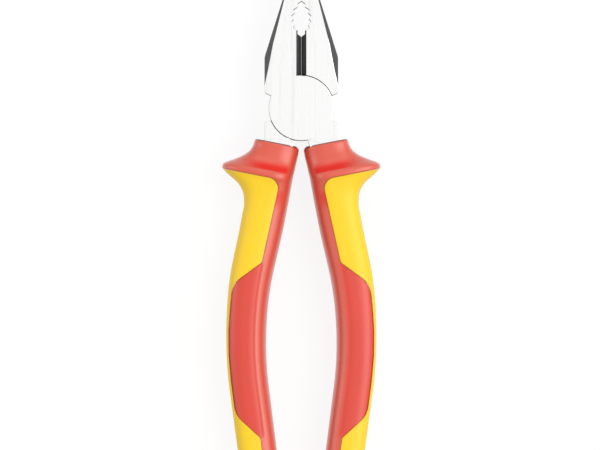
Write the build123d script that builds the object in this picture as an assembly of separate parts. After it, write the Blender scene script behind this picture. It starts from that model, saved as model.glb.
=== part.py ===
"""Insulated combination (lineman) pliers, lying flat with the pivot axis along +Z and the jaws towards +Y.

Two like forgings cross in a lap joint: each has one full-thickness jaw, a half-thickness joint disc and one
full-thickness tang. A flush countersunk rivet holds them. Each tang carries a moulded inner sleeve. Over it
lie a red shell with the hand guard, and yellow pads that fill the shell's outer side.
The second half is the first one turned half a turn about the Y axis.
Millimetres. Origin: the pivot axis at the back ground face of the joint.
"""

import math
import os

from build123d import *

# ---- joint and forging ----
HEAD_THICKNESS = 11.2
DISC_RADIUS = 11.25  # lap-joint disc
DISC_CLEARANCE = 0.15  # radial gap round the disc
LAP_CLEARANCE = 0.06  # gap between the two discs
DISC_EDGE_BREAK = 0.18
HEAD_HALF_WIDTH = 12.7
JAW_SHOULDER_ANGLE = 22.4  # lower end of a jaw, degrees above the X axis
TANG_SHOULDER_ANGLE = 21.6  # upper end of a tang, degrees below the X axis

# ---- jaws ----
JAW_TIP_Y = 45.0
JAW_TIP_HALF_WIDTH = 4.0
JAW_CORNER_Y = 17.6  # where the side starts to taper
JAW_CORNER_RADIUS = 5.0
JAW_TIP_RADIUS = 1.1
JAW_SHOULDER_RADIUS = 1.2
JAW_TIP_THICKNESS = 8.2
JAW_TAPER_START_Y = 13.0
JAW_PARTING_GAP = 0.06  # between the closed jaws
SIDE_BEVEL_TOP = (3.9, 46.0)  # line where the side bevel meets the ground face
SIDE_BEVEL_FOOT = (12.7, 7.3)
SIDE_BEVEL_STEEPNESS = 1.3  # depth of the bevel over its width

# ---- flat grip, pipe grip and cutter ----
SERRATION_PITCH = 1.1
SERRATION_DEPTH = 0.28
SERRATION_LAND = 0.09  # flat left between two grooves
PIPE_GRIP_FOOT_Y = 24.6
PIPE_GRIP_HEAD_Y = 36.9
PIPE_GRIP_DEPTH = 3.5  # of one jaw
PIPE_TOOTH_COUNT = 5
PIPE_TOOTH_HEIGHT = 0.95
CUTTER_SLOT_HALF_WIDTH = 1.66
CUTTER_BEVEL_HEIGHT = 1.6
CUTTER_LAND = 0.1  # flat left on the cutting edge
CUTTER_RUN_OUT = 2.0  # how far the slots run into the pipe grip

# ---- rivet ----
RIVET_RADIUS = 4.0
RIVET_HEAD_RADIUS = 5.4
RIVET_HEAD_DEPTH = 1.5
RIVET_RUNNING_CLEARANCE = 0.04
RIVET_HEAD_SINK = 0.04  # how far its ends lie under the ground faces

# ---- handle centreline: a line, an arc and a line ----
HANDLE_START = (8.1, -12.0)
UPPER_LEAN = 11.0  # degrees outwards from -Y
UPPER_LENGTH = 45.0
BEND_RADIUS = 125.0
LOWER_LEAN = -7.5

# ---- tang ----
TANG_HALF_WIDTHS = ((6.0, 4.6), (45.0, 4.2), (85.0, 3.6), (104.0, 3.1))  # (along, half width)
TANG_ROOT_Y = -10.6  # where the outer edge leaves the head's side
TANG_INNER_X = 2.2
TANG_THICKNESS = 7.2
TANG_END_THICKNESS = 5.2
SHANK_RELIEF = 0.12  # how far the shank lies under the ground face, just above the collar
SHANK_RELIEF_Y = (-10.4, -10.8)
TANG_STEP_Y = (-13.4, -16.6)  # the shank's thickness runs out into the tang's, under the collar

# ---- grip ----
SLEEVE_WALL = 1.0
SLEEVE_START = 6.5
SLEEVE_END_WALL = 2.2
GRIP_CORNER_RADIUS = 3.7  # long edges of the grip
GRIP_CORNER_SHARE = 0.55  # most of a half width or half thickness that such an edge takes
FLARE_STEP = 2.4  # spacing of the collar's and the flare's cross-sections
UPPER_STATIONS = (28.0, 36.5)  # cross-sections of the handle above the strip
LOWER_STATIONS = (108.0, 117.0)  # and below it
# cross-sections: (along, outer half width, inner half width, half thickness)
COLLAR_TOP = (0.0, 7.8, 6.7, 6.55)
COLLAR_SECTIONS = (
    (0.5, 7.95, 7.3, 6.8),
    (2.4, 8.2, 7.65, 6.9),
    (4.4, 9.05, 7.65, 7.05),
    (6.4, 10.95, 7.55, 7.5),
    (8.2, 13.6, 7.5, 8.5),
)
GUARD_RIM = (9.9, 12.7)  # start and end of the guard's rim, along the handle
GUARD_RIM_SIZE = (17.3, 7.4, 10.9)
GUARD_EDGE_BREAK = 0.8
FLARE_SECTIONS = (
    (13.9, 14.6, 7.42, 10.0),
    (15.9, 11.2, 7.45, 9.5),
    (18.4, 8.9, 7.5, 9.05),
    (22.0, 7.6, 7.5, 8.75),
)
HANDLE_SECTIONS = (
    (22.0, 7.6, 7.5, 8.75),
    (28.0, 7.35, 7.5, 8.6),
    (45.0, 7.5, 7.0, 8.8),
    (65.0, 6.95, 6.9, 8.6),
    (88.0, 6.85, 6.7, 8.1),
    (108.0, 6.75, 6.6, 7.5),
    (117.0, 6.6, 6.5, 7.2),
)
END_DOME_LENGTH = 7.4  # to that point
END_DOME_STEPS = 3
END_DOME_SQUARENESS = 2.4
END_DOME_SWEEP = 74.0  # degrees; 90 would close the dome to a point

# ---- yellow pads and the palm field between them ----
PAD_START = 12.2
PAD_CORNER_RADIUS = 3.8
PAD_CORNER_OFFSET = -3.4  # upper pad's inner border, at its corner
UPPER_PAD_END = (41.4, -2.6, 1.2)  # corners: (along, outward, radius)
LOWER_PAD_START = (102.8, -1.7, 1.2)
# border of the strip that joins the pads: places along the handle, and angles there on the grip's outer corners
STRIP_STATIONS = (47.7, 49.4, 52.0, 55.0, 65.0, 76.5, 88.0, 91.0, 94.8, 97.2)
STRIP_BORDER_ANGLES = (90.0, 69.0, 48.0, 43.0, 43.0, 43.0, 43.0, 45.0, 66.0, 90.0)
SPINE_CORNER = (66.0, -1.9, 110.0)  # the field's border on the spine
FIELD_RECESS = 0.3  # depth of the palm field

MARGIN = 1.0  # how far cutting tools stand clear of what they cut
REACH = 40.0  # larger than any half thickness, for cutting tools


# ---------------------------------------------------------------- handle coordinates
def handle_frame(along):
    """Centreline point, outward normal and downward direction of the right handle."""
    lean = math.radians(UPPER_LEAN)
    x, y = HANDLE_START
    straight = min(along, UPPER_LENGTH)
    x += straight * math.sin(lean)
    y -= straight * math.cos(lean)
    bend_length = BEND_RADIUS * math.radians(UPPER_LEAN - LOWER_LEAN)
    if along > UPPER_LENGTH:
        turned = min(along - UPPER_LENGTH, bend_length) / BEND_RADIUS
        x += BEND_RADIUS * (math.cos(lean - turned) - math.cos(lean))
        y -= BEND_RADIUS * (math.sin(lean) - math.sin(lean - turned))
        lean -= turned
    if along > UPPER_LENGTH + bend_length:
        rest = along - UPPER_LENGTH - bend_length
        x += rest * math.sin(lean)
        y -= rest * math.cos(lean)
    return (x, y), (math.cos(lean), math.sin(lean)), (math.sin(lean), -math.cos(lean))


def at(along, outward):
    """Point in the XY plane, from a distance along the handle and one outwards from its centreline."""
    (x, y), (nx, ny), _ = handle_frame(along)
    return (x + outward * nx, y + outward * ny)


def prism(outline, low, high):
    """A closed XY outline as a solid between two heights."""
    return Pos(0, 0, low) * extrude(make_face(outline), amount=high - low)


def polygon_prism(points, low, high):
    return prism(Polyline(*points, close=True), low, high)


# ---------------------------------------------------------------- forging
def jaw_outline():
    """Left jaw in plan, down to the pivot along its shoulder."""
    parting = -JAW_PARTING_GAP / 2
    corner = (-HEAD_HALF_WIDTH, JAW_CORNER_Y)
    shoulder = (-HEAD_HALF_WIDTH, HEAD_HALF_WIDTH * math.tan(math.radians(JAW_SHOULDER_ANGLE)))
    return make_face(
        FilletPolyline(
            (parting, 0),
            (parting, JAW_TIP_Y),
            (-JAW_TIP_HALF_WIDTH, JAW_TIP_Y),
            corner,
            shoulder,
            radius=(0, 0, JAW_TIP_RADIUS, JAW_CORNER_RADIUS, JAW_SHOULDER_RADIUS),
            close=True,
        )
    )


def tang_side(widths, side):
    """One side of the tang, or of what follows it: straight, bent and straight again, like the handle.
    side is 1 for the outer side, -1 for the inner."""
    top, bend_top, bend_end, end = [at(along, side * half) for along, half in widths]
    (start, upper), (stop, lower) = widths[1:3]
    middle = at((start + stop) / 2, side * (upper + lower) / 2)
    return [Line(top, bend_top), ThreePointArc(bend_top, middle, bend_end), Line(bend_end, end)]


def tang_outline():
    """Right tang in plan, from the pivot along its shoulder to its rounded end."""
    shoulder = (HEAD_HALF_WIDTH, -HEAD_HALF_WIDTH * math.tan(math.radians(TANG_SHOULDER_ANGLE)))
    outer = tang_side(TANG_HALF_WIDTHS, 1)
    inner = tang_side(TANG_HALF_WIDTHS, -1)
    top_along, top_half = TANG_HALF_WIDTHS[0]
    end_along, end_half = TANG_HALF_WIDTHS[-1]
    inner_foot = -math.sqrt(DISC_RADIUS**2 - TANG_INNER_X**2)
    lines = [
        Line((0, 0), shoulder),
        Line(shoulder, (HEAD_HALF_WIDTH, TANG_ROOT_Y)),
        Line((HEAD_HALF_WIDTH, TANG_ROOT_Y), at(top_along, top_half)),
        *outer,
        ThreePointArc(at(end_along, end_half), at(end_along + end_half, 0), at(end_along, -end_half)),
        *inner,
        Line(at(top_along, -top_half), (TANG_INNER_X, inner_foot)),
        Line((TANG_INNER_X, inner_foot), (0, 0)),
    ]
    return make_face(Wire(lines))


def tang_side_profile():
    """Side view of a whole half, in the YZ plane: head, shank and thinner tang."""
    head, tang, end = HEAD_THICKNESS / 2, TANG_THICKNESS / 2, TANG_END_THICKNESS / 2
    shank = head - SHANK_RELIEF
    foot = at(TANG_HALF_WIDTHS[-1][0] + REACH, 0)[1]
    upper = [
        (JAW_TIP_Y + MARGIN, head),
        (SHANK_RELIEF_Y[0], head),
        (SHANK_RELIEF_Y[1], shank),
        (TANG_STEP_Y[0], shank),
        (TANG_STEP_Y[1], tang),
        (foot, end),
    ]
    lower = [(y, -z) for y, z in reversed(upper)]
    face = make_face(Polyline(*[(0, y, z) for y, z in upper + lower], close=True))
    return extrude(face, amount=REACH, dir=(1, 0, 0), both=True)


def jaw_taper_cuts():
    """Wedges that thin the jaws towards the tip, front and back."""
    head, tip = HEAD_THICKNESS / 2, JAW_TIP_THICKNESS / 2
    slope = (head - tip) / (JAW_TIP_Y - JAW_TAPER_START_Y)
    wedge = [
        (0, JAW_TAPER_START_Y, head),
        (0, JAW_TIP_Y + MARGIN, tip - slope * MARGIN),
        (0, JAW_TIP_Y + MARGIN, head + MARGIN),
        (0, JAW_TAPER_START_Y, head + MARGIN),
    ]
    front = extrude(make_face(Polyline(*wedge, close=True)), amount=REACH, dir=(1, 0, 0), both=True)
    return front + mirror(front, Plane.XY)


def side_bevel_cut():
    """Slab outside the sloping flank of the left jaw, on the front side."""
    (top_x, top_y), (foot_x, foot_y) = SIDE_BEVEL_TOP, SIDE_BEVEL_FOOT
    along = Vector(-(foot_x - top_x), foot_y - top_y, 0).normalized()
    outward = Vector(along.Y, -along.X, 0)
    normal = Vector(outward.X * SIDE_BEVEL_STEEPNESS, outward.Y * SIDE_BEVEL_STEEPNESS, 1).normalized()
    middle = (-(top_x + foot_x) / 2, (top_y + foot_y) / 2, HEAD_THICKNESS / 2)
    plane = Plane(origin=middle, x_dir=along, z_dir=normal)
    return plane * Box(2 * REACH, REACH, REACH, align=(Align.CENTER, Align.CENTER, Align.MIN))


def pipe_grip_cut():
    """Serrated hollow in the left jaw: V teeth that follow a round hollow."""
    length = PIPE_GRIP_HEAD_Y - PIPE_GRIP_FOOT_Y
    middle = (PIPE_GRIP_HEAD_Y + PIPE_GRIP_FOOT_Y) / 2
    radius = ((length / 2) ** 2 + PIPE_GRIP_DEPTH**2) / (2 * PIPE_GRIP_DEPTH)

    def hollow(y):
        return -(math.sqrt(radius**2 - (y - middle) ** 2) - radius + PIPE_GRIP_DEPTH)

    pitch = length / (PIPE_TOOTH_COUNT + 1)
    points = [(MARGIN, PIPE_GRIP_FOOT_Y), (0, PIPE_GRIP_FOOT_Y)]
    for tooth in range(PIPE_TOOTH_COUNT + 1):
        root_y = PIPE_GRIP_FOOT_Y + (tooth + 0.5) * pitch
        points.append((hollow(root_y), root_y))
        if tooth < PIPE_TOOTH_COUNT:
            crest_y = PIPE_GRIP_FOOT_Y + (tooth + 1) * pitch
            points.append((hollow(crest_y) + PIPE_TOOTH_HEIGHT, crest_y))
    points += [(0, PIPE_GRIP_HEAD_Y), (MARGIN, PIPE_GRIP_HEAD_Y)]
    return polygon_prism(points, -REACH, REACH)


def serration_cuts():
    """V grooves across the flat grip of the left jaw, along Z."""
    space = JAW_TIP_Y - PIPE_GRIP_HEAD_Y
    count = int(space / SERRATION_PITCH) - 1
    first = PIPE_GRIP_HEAD_Y + (space - (count - 1) * SERRATION_PITCH) / 2
    half = (SERRATION_PITCH - SERRATION_LAND) / 2
    cuts = []
    for groove in range(count):
        y = first + groove * SERRATION_PITCH
        cuts.append(polygon_prism([(0, y - half), (0, y + half), (-SERRATION_DEPTH, y)], -REACH, REACH))
    return cuts


def cutter_cuts():
    """Slots either side of the mid-plane that leave a bevelled cutting edge on the left jaw."""
    edge, slot, height = CUTTER_LAND / 2, CUTTER_SLOT_HALF_WIDTH, CUTTER_BEVEL_HEIGHT
    profile = [(MARGIN, edge), (0, edge), (-slot, height), (-slot, REACH), (MARGIN, REACH)]
    face = make_face(Polyline(*[(x, 0, z) for x, z in profile], close=True))
    slot_cut = extrude(face, amount=PIPE_GRIP_FOOT_Y + CUTTER_RUN_OUT, dir=(0, 1, 0))
    slot_cut -= Cylinder(DISC_RADIUS, 4 * REACH)
    return slot_cut + mirror(slot_cut, Plane.XY)


def rivet_form(radial):
    """Double countersunk form of the rivet, or with a clearance of the hole that it needs."""
    half = HEAD_THICKNESS / 2
    shank, head, depth = RIVET_RADIUS + radial, RIVET_HEAD_RADIUS + radial, RIVET_HEAD_DEPTH
    upper = [(0, half), (head, half), (shank, half - depth)]
    lower = [(x, -z) for x, z in reversed(upper)]
    face = make_face(Polyline(*[(x, 0, z) for x, z in upper + lower], close=True))
    return revolve(face, Axis.Z)


def rivet():
    """The rivet, its ends sunk a little below the ground faces."""
    return rivet_form(0) & Cylinder(REACH, HEAD_THICKNESS - 2 * RIVET_HEAD_SINK)


def forging(bore_clearance):
    """The half with the left jaw, the front disc and the right tang, about its own mid-plane."""
    half = HEAD_THICKNESS / 2
    plan = extrude(jaw_outline(), amount=half, both=True) + extrude(tang_outline(), amount=half, both=True)
    plan &= tang_side_profile()
    for cut in (jaw_taper_cuts(), side_bevel_cut(), mirror(side_bevel_cut(), Plane.XY)):
        plan -= cut
    plan -= pipe_grip_cut()
    for cut in serration_cuts():
        plan -= cut
    plan -= cutter_cuts()
    recess_top = LAP_CLEARANCE / 2
    recess = Pos(0, 0, recess_top) * Cylinder(
        DISC_RADIUS + DISC_CLEARANCE, REACH, align=(Align.CENTER, Align.CENTER, Align.MAX)
    )
    disc = Pos(0, 0, recess_top) * Cylinder(
        DISC_RADIUS, half - recess_top, align=(Align.CENTER, Align.CENTER, Align.MIN)
    )
    disc = chamfer(disc.edges().group_by(Axis.Z)[-1], DISC_EDGE_BREAK)
    body = (plan - recess) + disc
    body -= rivet_form(bore_clearance)
    return body.solids().sort_by(SortBy.VOLUME)[-1]


# ---------------------------------------------------------------- grip
def corner_form(wide, tall):
    """Radius of a cross-section's corners, and the centre of one."""
    radius = min(GRIP_CORNER_RADIUS, GRIP_CORNER_SHARE * min(wide, tall))
    return radius, (wide - radius, tall - radius)


def rounded_outline(wide, tall, split=None):
    """Outline of a cross-section. Its two outer corners may be split at a distance from the middle."""
    radius, centre = corner_form(wide, tall)
    side = Line((wide, -centre[1]), (wide, centre[1]))
    corner = [CenterArc(centre, radius, 0, 90)]
    outer_corner = corner
    if split is not None:
        angle = math.degrees(math.acos((split - centre[0]) / radius))
        outer_corner = [CenterArc(centre, radius, 0, angle), CenterArc(centre, radius, angle, 90 - angle)]
    top = Line((centre[0], tall), (-centre[0], tall))
    upper = outer_corner + [top] + [arc.mirror(Plane.YZ) for arc in corner]
    lower = [edge.mirror(Plane.XZ) for edge in upper]
    return Wire([side] + upper + [side.mirror(Plane.YZ)] + lower)


def corner_place(outer, inner, thick, angle):
    """Distance outwards of a place on the outer corner of a cross-section, given as an angle."""
    radius, centre = corner_form((outer + inner) / 2, thick)
    return (outer - inner) / 2 + centre[0] + radius * math.cos(math.radians(angle))


def section(along, outer, inner, thick, inset, split_angle):
    """One cross-section of the grip, square to the centreline."""
    (x, y), (nx, ny), (dx, dy) = handle_frame(along)
    plane = Plane(origin=(x, y, 0), x_dir=(nx, ny, 0), z_dir=(dx, dy, 0))
    middle = (outer - inner) / 2
    split = corner_place(outer, inner, thick, split_angle) - middle if split_angle else None
    outline = Pos(middle, 0) * rounded_outline((outer + inner) / 2 - inset, thick - inset, split)
    return plane * make_face(outline)


def row_at(rows, along):
    """The cross-section at a distance along the handle, on the smooth curve through a table's rows."""
    here = max(i for i in range(len(rows) - 1) if rows[i][0] <= along)
    start, end = rows[here], rows[here + 1]
    length = end[0] - start[0]
    t = (along - start[0]) / length

    def slope(middle, column):
        before, after = rows[max(middle - 1, 0)], rows[min(middle + 1, len(rows) - 1)]
        return length * (after[column] - before[column]) / (after[0] - before[0])

    sizes = [
        (2 * t**3 - 3 * t**2 + 1) * start[column]
        + (t**3 - 2 * t**2 + t) * slope(here, column)
        + (3 * t**2 - 2 * t**3) * end[column]
        + (t**3 - t**2) * slope(here + 1, column)
        for column in range(1, len(start))
    ]
    return (along, *sizes)


def even_rows(rows, step):
    """Cross-sections at even steps from a table's first row to its last."""
    first, last = rows[0][0], rows[-1][0]
    count = round((last - first) / step)
    return [row_at(rows, first + (last - first) * part / count) for part in range(count + 1)]


def skin(rows, inset=0.0, split_angles=None):
    """Solid through the cross-sections, ruled from each to the next."""
    angles = split_angles or [None] * len(rows)
    return loft([section(*row, inset, angle) for row, angle in zip(rows, angles)], ruled=True)


def end_dome_sections():
    """The last grip section, shrunk in steps to round the handle's end."""
    along, outer, inner, thick = HANDLE_SECTIONS[-1]
    rows = []
    for step in range(1, END_DOME_STEPS + 1):
        part = math.sin(math.radians(END_DOME_SWEEP * step / END_DOME_STEPS))
        scale = (1 - part**END_DOME_SQUARENESS) ** (1 / END_DOME_SQUARENESS)
        rows.append((along + part * END_DOME_LENGTH, outer * scale, inner * scale, thick * scale))
    return rows


def guard_rim_sections():
    """The guard's rim with its two edges broken."""
    start, end = GUARD_RIM
    outer, inner, thick = GUARD_RIM_SIZE
    short = GUARD_EDGE_BREAK
    return [
        (start, outer - short, inner, thick - short),
        (start + short, outer, inner, thick),
        (end - short, outer, inner, thick),
        (end, outer - short, inner, thick - short),
    ]


def handle_rows(stations):
    """Cross-sections of the handle at the stations."""
    return [row_at(HANDLE_SECTIONS, along) for along in stations]


def strip_skin(inset=0.0):
    """Skin along the pads' joining strip, its outer corners split where the strip's border runs."""
    return skin(handle_rows(STRIP_STATIONS[1:-1]), inset, STRIP_BORDER_ANGLES[1:-1])


def upper_rows():
    """Cross-sections of the handle from the guard's flare to the top of the strip."""
    return handle_rows(UPPER_STATIONS + STRIP_STATIONS[:2])


def lower_rows():
    """Cross-sections of the handle from the end of the strip to the end dome."""
    return handle_rows(STRIP_STATIONS[-2:] + LOWER_STATIONS)


def grip_body():
    """Whole outer form of the grip."""
    rim = guard_rim_sections()
    collar = even_rows(COLLAR_SECTIONS + (rim[0],), FLARE_STEP)
    flare = even_rows((rim[-1],) + FLARE_SECTIONS, FLARE_STEP)
    upper = skin([COLLAR_TOP] + collar + rim[1:] + flare[1:] + upper_rows())
    return upper + strip_skin() + skin(lower_rows() + end_dome_sections())


def below_field():
    """The grip's form under the sunk palm field."""
    upper, lower = skin(upper_rows(), FIELD_RECESS), skin(lower_rows(), FIELD_RECESS)
    return upper + strip_skin(FIELD_RECESS) + lower


def sleeve_form():
    """Outer form of the inner insulating sleeve, round the tang."""
    end_along, end_half = TANG_HALF_WIDTHS[-1]
    top_half = TANG_HALF_WIDTHS[0][1] + SLEEVE_WALL
    widths = [(SLEEVE_START, top_half)]
    widths += [(along, half + SLEEVE_WALL) for along, half in TANG_HALF_WIDTHS[1:]]
    outer_end, inner_end = [at(end_along, side * widths[-1][1]) for side in (1, -1)]
    lines = [
        *tang_side(widths, 1),
        ThreePointArc(outer_end, at(end_along + end_half + SLEEVE_END_WALL, 0), inner_end),
        *tang_side(widths, -1),
        Line(at(SLEEVE_START, -top_half), at(SLEEVE_START, top_half)),
    ]
    return extrude(make_face(Wire(lines)), amount=TANG_THICKNESS / 2 + SLEEVE_WALL, both=True)


def handle_region(corners):
    """Plan with rounded corners, given as (along, outward, radius)."""
    points = [at(along, outward) for along, outward, _ in corners]
    return make_face(FilletPolyline(*points, radius=[corner[2] for corner in corners], close=True))


def strip_corners():
    """The border of the pads' joining strip in plan, from the upper pad to the lower one."""
    corners = []
    for along, angle in zip(STRIP_STATIONS, STRIP_BORDER_ANGLES):
        corners.append((along, corner_place(*row_at(HANDLE_SECTIONS, along)[1:], angle), 0))
    return corners


def pad_region():
    """Plan of the yellow pads and the strip that joins them."""
    foot = HANDLE_SECTIONS[-1][0] + END_DOME_LENGTH + REACH
    upper_border = [(PAD_START, REACH, 0), (PAD_START, PAD_CORNER_OFFSET, PAD_CORNER_RADIUS), UPPER_PAD_END]
    lower_border = [LOWER_PAD_START, (foot, LOWER_PAD_START[1], 0), (foot, REACH, 0)]
    return handle_region(upper_border + strip_corners() + lower_border)


def field_region():
    """Plan of the sunk palm field between the pads."""
    ends = [(along, outward, 0) for along, outward, _ in (UPPER_PAD_END, LOWER_PAD_START)]
    return handle_region([ends[0], *strip_corners(), ends[1], SPINE_CORNER])


def through(region, half=REACH):
    return extrude(region, amount=half, both=True)


def handle_pieces(steel):
    """Sleeve, pads and shell of the right handle, fitted round the forging."""
    body = grip_body()
    sleeve_outer = sleeve_form()
    pad_block = through(pad_region())
    pads = (body & pad_block) - sleeve_outer
    shell = body - pad_block - sleeve_outer - steel
    shell -= through(field_region()) - below_field()
    return {"sleeve": sleeve_outer - steel, "pads": pads, "shell": shell}


def write(name, solid):
    """One node's file, lifted so the back ground face of the joint lies at Z = 0."""
    solid = Pos(0, 0, HEAD_THICKNESS / 2) * solid
    solid.label = name
    export_step(solid, f"parts/{name}.step")


def main():
    os.makedirs("parts", exist_ok=True)
    front_half = forging(RIVET_RUNNING_CLEARANCE)
    turn_over = Rot(0, 180, 0)
    write("front_half", front_half)
    write("back_half", turn_over * forging(0))
    write("rivet", rivet())
    for name, solid in handle_pieces(front_half).items():
        write(f"right_{name}", solid)
        write(f"left_{name}", turn_over * solid)


main()
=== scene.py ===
"""Insulated combination pliers, dressed for rendering round their fixed CAD frame.

Everything is in metres and in the CAD's own frame: the pivot axis is Z, the jaws point along +Y.
"""

import math

import bmesh
import bpy
import numpy as np
from bpy.props import FloatProperty, FloatVectorProperty, IntProperty, PointerProperty
from mathutils import Matrix, Vector


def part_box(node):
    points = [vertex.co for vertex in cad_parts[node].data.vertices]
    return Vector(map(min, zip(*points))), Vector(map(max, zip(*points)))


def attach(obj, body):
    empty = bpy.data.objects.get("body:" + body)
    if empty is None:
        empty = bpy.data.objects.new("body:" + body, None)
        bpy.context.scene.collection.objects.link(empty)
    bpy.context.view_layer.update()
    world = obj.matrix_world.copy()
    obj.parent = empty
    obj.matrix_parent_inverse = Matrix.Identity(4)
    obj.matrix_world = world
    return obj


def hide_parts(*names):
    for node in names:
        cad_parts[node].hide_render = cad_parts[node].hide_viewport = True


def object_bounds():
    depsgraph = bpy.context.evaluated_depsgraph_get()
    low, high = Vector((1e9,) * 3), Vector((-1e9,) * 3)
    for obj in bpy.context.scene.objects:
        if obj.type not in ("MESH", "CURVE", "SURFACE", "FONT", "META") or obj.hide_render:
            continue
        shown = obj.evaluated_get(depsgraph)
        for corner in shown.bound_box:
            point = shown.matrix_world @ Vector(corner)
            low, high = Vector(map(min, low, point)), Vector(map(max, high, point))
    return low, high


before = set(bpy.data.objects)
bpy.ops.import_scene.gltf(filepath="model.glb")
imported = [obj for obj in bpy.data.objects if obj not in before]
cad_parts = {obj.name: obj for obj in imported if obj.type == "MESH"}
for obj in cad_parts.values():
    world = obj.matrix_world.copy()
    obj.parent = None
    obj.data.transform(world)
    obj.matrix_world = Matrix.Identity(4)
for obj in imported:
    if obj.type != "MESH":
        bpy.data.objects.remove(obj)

bl_info = {
    "name": "Insulated Pliers",
    "version": (1, 0, 0),
    "blender": (4, 5, 0),
    "location": "View3D > Sidebar > Pliers",
    "description": "Forged steel halves, rivet and two-colour moulded grips of a pair of insulated pliers",
    "category": "Object",
}

MM = 0.001
SAME_POINT = 1e-7  # points closer together than this, in metres, are joined
CAD_BOX = [list(corner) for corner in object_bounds()]
HEAD_LOW, HEAD_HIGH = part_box("front_half")
MID_PLANE = (HEAD_LOW.z + HEAD_HIGH.z) / 2

# ---- angles, in degrees ----
SAME_PLANE = 0.5  # faces that lean apart by less are joined
STEEL_CREASE = 24  # an edge of the steel that turns by more is sharp
GRIP_CREASE = 38  # the same for the grips
CORNER_STEP = 4  # between the points of a rounded corner

GROUND_FACING = 0.95  # a face whose normal has more of Z than this is ground flat
GROUND_FADE = 0.02  # below that, over which the ground finish fades out

# ---- grip cross-sections, in millimetres: (along, outer half width, inner half width, half thickness) ----
GRIP_SECTIONS = (
    (0.0, 7.8, 6.7, 6.55),
    (0.5, 7.95, 7.3, 6.8),
    (2.4, 8.2, 7.65, 6.9),
    (4.4, 9.05, 7.65, 7.05),
    (6.4, 10.95, 7.55, 7.5),
    (8.2, 13.6, 7.5, 8.5),
    (9.8, 16.3, 7.45, 10.2),
    (10.5, 17.15, 7.4, 10.8),
    (11.3, 17.3, 7.4, 10.9),
    (12.1, 17.15, 7.4, 10.8),
    (12.8, 16.3, 7.42, 10.4),
    (13.9, 14.6, 7.42, 10.0),
    (15.9, 11.2, 7.45, 9.5),
    (18.4, 8.9, 7.5, 9.05),
    (22.0, 7.6, 7.5, 8.75),
    (28.0, 7.35, 7.5, 8.6),
    (45.0, 7.5, 7.0, 8.8),
    (65.0, 6.95, 6.9, 8.6),
    (88.0, 6.85, 6.7, 8.1),
    (108.0, 6.75, 6.6, 7.5),
    (117.0, 6.6, 6.5, 7.2),
)
SECTION_BLEND = 0.5  # reach over which one cross-section blends into the next
CURVE_STEP = 0.1  # between the points that the blending works on
COLLAR_EDGE_ROUND = 0.35
COLLAR_EDGE_RINGS = 5
LIP_SHADOW_REACH = 1.5  # of the painted shadow on the collar's lip, in rounds of the edge
GUARD_END = 24  # rings stand closer together above this than below
GUARD_RING_STEP, HANDLE_RING_STEP = 0.2, 0.6
END_DOME_SQUARENESS = 2.4
END_DOME_RINGS, END_DOME_SWEEP = 24, (4, 90)  # the sweep in degrees

# ---- flank of a jaw near its tip, in millimetres: (outward, up the jaw, from the mid-plane) ----
FLANK_POINTS = ((8.38, 27.3, 4.93), (5.94, 37.0, 4.475))  # on its upper edge
FLANK_FALL = (0.953, 0.303, -1.3)  # direction in which it slopes down from there
FLANK_SLAB = (28, 16, 8)  # length, width and thickness of the block outside it
FLANK_SLAB_SHIFT = 8  # from the first point to the middle of the block

# ---- rivet and wire cutter, in millimetres ----
RIVET_SEAT_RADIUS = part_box("rivet")[1].x + 0.2 * MM  # in metres
RIVET_RIM = 0.3  # width of the head's rim
PEENED_SPREAD, PEENED_RISE = 0.07, 0.035  # how far the head rims are driven out and up
CUTTER_SPAN = (10.0, 28.0)  # along the jaws
CUTTER_HALF_WIDTH, CUTTING_EDGE_HALF_WIDTH = 1.8, 0.3
CUTTER_WEAR_AND_LIGHT = 0.23  # how much lighter the cutter's bevels are made, from 0 to 1: wear on the cutting edges and painted light on the slot walls

# ---- plan corners of the yellow pads, in millimetres: (along, outward, corner radius) ----
PAD_UPPER_CORNERS = ((12.2, 40.0, 0.0), (12.2, -3.4, 3.8), (41.4, -2.6, 1.2))
PAD_STRIP_CORNERS = ((50.3, 6.0, 8.0), (69.5, 6.8, 110.0), (93.9, 5.8, 8.0))
PAD_LOWER_CORNERS = ((102.8, -1.7, 1.2), (160.0, -1.7, 0.0), (160.0, 40.0, 0.0))
PAD_BLOCK_REACH = 40  # of the block that cuts them out, above and below the mid-plane

# ---- sunk palm field, in millimetres ----
FIELD_ENDS = (41.0, 103.4)
FIELD_SPINE_EDGE = -2.9
FIELD_EDGE_WIDTH = 1.1
FIELD_END_WIDTH = 1.5

# ---- painted reflection: a deeper red where the shell would mirror its own red, in millimetres ----
# Each is (from, fade, to, fade) along the handle, the same outwards, and the strength.
PAINTED_REFLECTIONS = (
    ((6.0, 2.8, 9.7, 0.3), (-6.0, 1.5, 3.0, 9.0), 1.0),
    ((15.0, 2.4, 19.0, 4.5), (-6.2, 1.6, 0.0, 1.0), 0.6),
)

# ---- finishes: shades are shares of a colour ----
STREAK_TONES = (0.47, 0.72)  # from where the belt lines darken the ground steel to where they do it fully
STREAK_SHADE, OXIDE_SHADE = 0.84, 0.72
# share of bright metal on worn edges and on the cutter's slot walls, where it is painted light
WEAR_AND_SLOT_LIGHT_SHARE = 0.6
# the lip's share darkens the collar's rounded lip as painted shadow where the collar meets the steel
SHELL_SHADE, PAINTED_LIP_SHADOW, PLASTIC_SHADE = 0.93, 0.12, 0.94
FIELD_SHADES = (0.86, 1.08)

# ---- studio, in metres ----
SENSOR_WIDTH = 36  # of the camera, in millimetres
FLOOR_HALF_WIDTH = 2.0
FLOOR_GLOW = 0.87
# Each lamp is its name, place, size across and along, and the setting that holds its power.
LAMPS = (
    ("key_lamp", (0.82, 0.0, 0.92), (1.0, 1.2), "key_power"),
    ("fill_lamp", (-0.95, 0.1, 0.4), (0.5, 0.9), "fill_power"),
    ("top_lamp", (0.1, 0.85, 0.7), (0.9, 0.5), "top_power"),
)


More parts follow.
